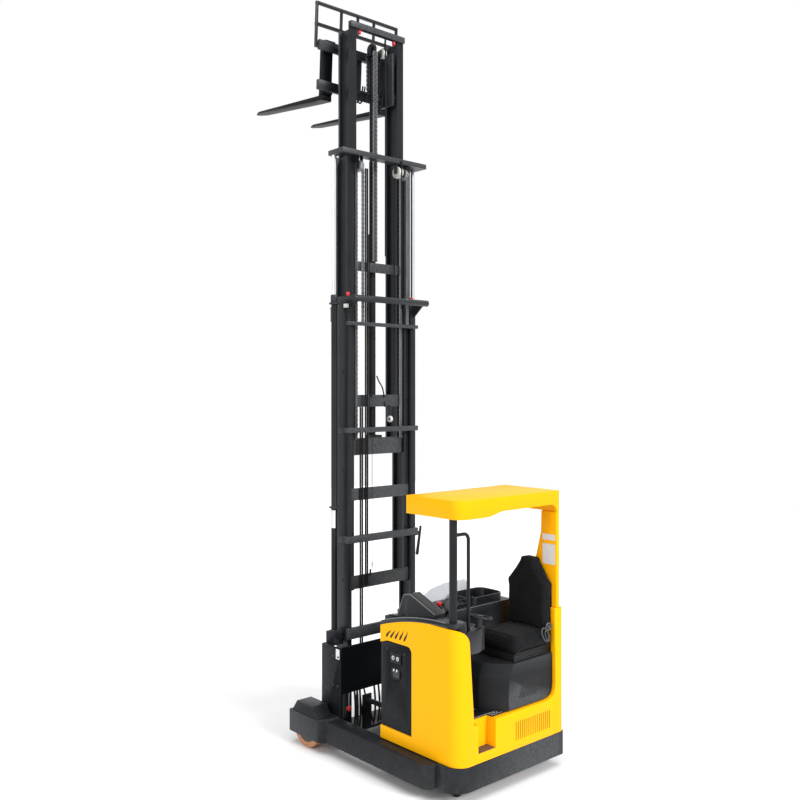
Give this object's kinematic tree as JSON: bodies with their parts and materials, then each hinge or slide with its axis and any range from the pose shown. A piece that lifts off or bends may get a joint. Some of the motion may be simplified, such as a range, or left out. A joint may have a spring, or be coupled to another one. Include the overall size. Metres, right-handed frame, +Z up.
{
  "type": "reach truck",
  "caption": "Battery reach truck with a side-facing seat under a guard, two straddle legs, a reach carriage, a three-stage mast raised partway and tilting forks.",
  "frame": {"origin": "middle of the truck's bounding box, on the floor", "axes": "+X towards the forks, +Y to the truck's left, +Z up"},
  "size_m": [2.8924, 1.44, 6.1138],
  "materials": {
    "charcoal_paint": "satin",
    "yellow_paint": "gloss",
    "dark_plastic": "matte",
    "battery_case": "satin",
    "black_upholstery": "matte",
    "black_rubber": "matte",
    "orange_tyre": "satin",
    "dark_tyre": "matte",
    "polished_rod": "polished",
    "bare_steel": "oiled",
    "black_steel": "satin",
    "clear_sheet": "clear"
  },
  "bodies": {
    "chassis": {"base_frame": "charcoal_paint", "leg_left": "charcoal_paint", "leg_right": "charcoal_paint", "body_left": "yellow_paint", "access_panel": "charcoal_paint", "body_rear": "yellow_paint", "body_right": "yellow_paint", "front_wall": "charcoal_paint", "floor_plate": "charcoal_paint", "battery": "battery_case", "dash_cowl": "dark_plastic", "front_console": "dark_plastic", "controls": "dark_plastic", "screen": "clear_sheet", "guard_roof": "yellow_paint", "rear_pillar": "yellow_paint", "guard_post": "charcoal_paint", "seat_pedestal": "dark_plastic", "seat_bellows": "black_rubber", "seat_cushion": "black_upholstery", "seat_back": "black_upholstery", "seat_lever": "bare_steel", "reach_barrel": "charcoal_paint"},
    "steering": {"steering_wheel": "dark_plastic"},
    "drive_turn": {"drive_unit": "charcoal_paint"},
    "drive_roll": {"drive_wheel": "orange_tyre"},
    "castor_turn": {"castor_fork": "charcoal_paint"},
    "castor_roll": {"castor_wheel": "dark_tyre"},
    "load_left": {"load_wheel_left": "orange_tyre"},
    "load_right": {"load_wheel_right": "orange_tyre"},
    "reach": {"carriage_frame": "charcoal_paint", "outer_mast": "charcoal_paint", "lift_barrels": "charcoal_paint", "reach_rod": "polished_rod"},
    "mid": {"mid_mast": "charcoal_paint", "lift_rods": "polished_rod", "lift_chains": "bare_steel"},
    "inner": {"inner_mast": "charcoal_paint", "free_lift_barrel": "charcoal_paint"},
    "head": {"crosshead": "bare_steel"},
    "carriage": {"fork_carriage": "charcoal_paint"},
    "fork_frame": {"fork_bars": "charcoal_paint", "fork_left": "black_steel", "fork_right": "black_steel", "backrest": "charcoal_paint"}
  },
  "joints": [
    {"name": "steering_spin", "type": "hinge", "parent": "chassis", "child": "steering", "pos_m": [-1.32621, 0.24, 1.17], "axis": [0, -0.2079, 0.9781], "continuous": true},
    {"name": "drive_steer", "type": "hinge", "parent": "chassis", "child": "drive_turn", "pos_m": [-1.14621, -0.15, 0.17], "axis": [0, 0, 1], "range_deg": [-90, 90]},
    {"name": "drive_spin", "type": "hinge", "parent": "drive_turn", "child": "drive_roll", "pos_m": [-1.14621, -0.15, 0.17], "axis": [0, 1, 0], "continuous": true},
    {"name": "castor_swivel", "type": "hinge", "parent": "chassis", "child": "castor_turn", "pos_m": [-1.25121, 0.425, 0.055], "axis": [0, 0, 1], "continuous": true},
    {"name": "castor_spin", "type": "hinge", "parent": "castor_turn", "child": "castor_roll", "pos_m": [-1.28121, 0.425, 0.055], "axis": [0, 1, 0], "continuous": true},
    {"name": "load_left_spin", "type": "hinge", "parent": "chassis", "child": "load_left", "pos_m": [0.14879, 0.641, 0.17], "axis": [0, 1, 0], "continuous": true},
    {"name": "load_right_spin", "type": "hinge", "parent": "chassis", "child": "load_right", "pos_m": [0.14879, -0.641, 0.17], "axis": [0, 1, 0], "continuous": true},
    {"name": "reach_slide", "type": "slide", "parent": "chassis", "child": "reach", "axis": [1, 0, 0], "range_m": [-0.5, 0.02]},
    {"name": "mid_lift", "type": "slide", "parent": "reach", "child": "mid", "axis": [0, 0, 1], "range_m": [-1.06, 1.5]},
    {"name": "inner_lift", "type": "slide", "parent": "mid", "child": "inner", "axis": [0, 0, 1], "range_m": [-1.06, 1.5]},
    {"name": "carriage_lift", "type": "slide", "parent": "inner", "child": "carriage", "axis": [0, 0, 1], "range_m": [-3, 0]},
    {"name": "crosshead_lift", "type": "slide", "parent": "inner", "child": "head", "axis": [0, 0, 1], "range_m": [-1.5, 0]},
    {"name": "fork_tilt", "type": "hinge", "parent": "carriage", "child": "fork_frame", "pos_m": [0.29879, 0, 5.425], "axis": [0, -1, 0], "range_deg": [-6, 1]}
  ],
  "couplings": [
    {"joint": "inner_lift", "follows": "mid_lift", "ratio": 1},
    {"joint": "crosshead_lift", "follows": "carriage_lift", "ratio": 0.5}
  ]
}
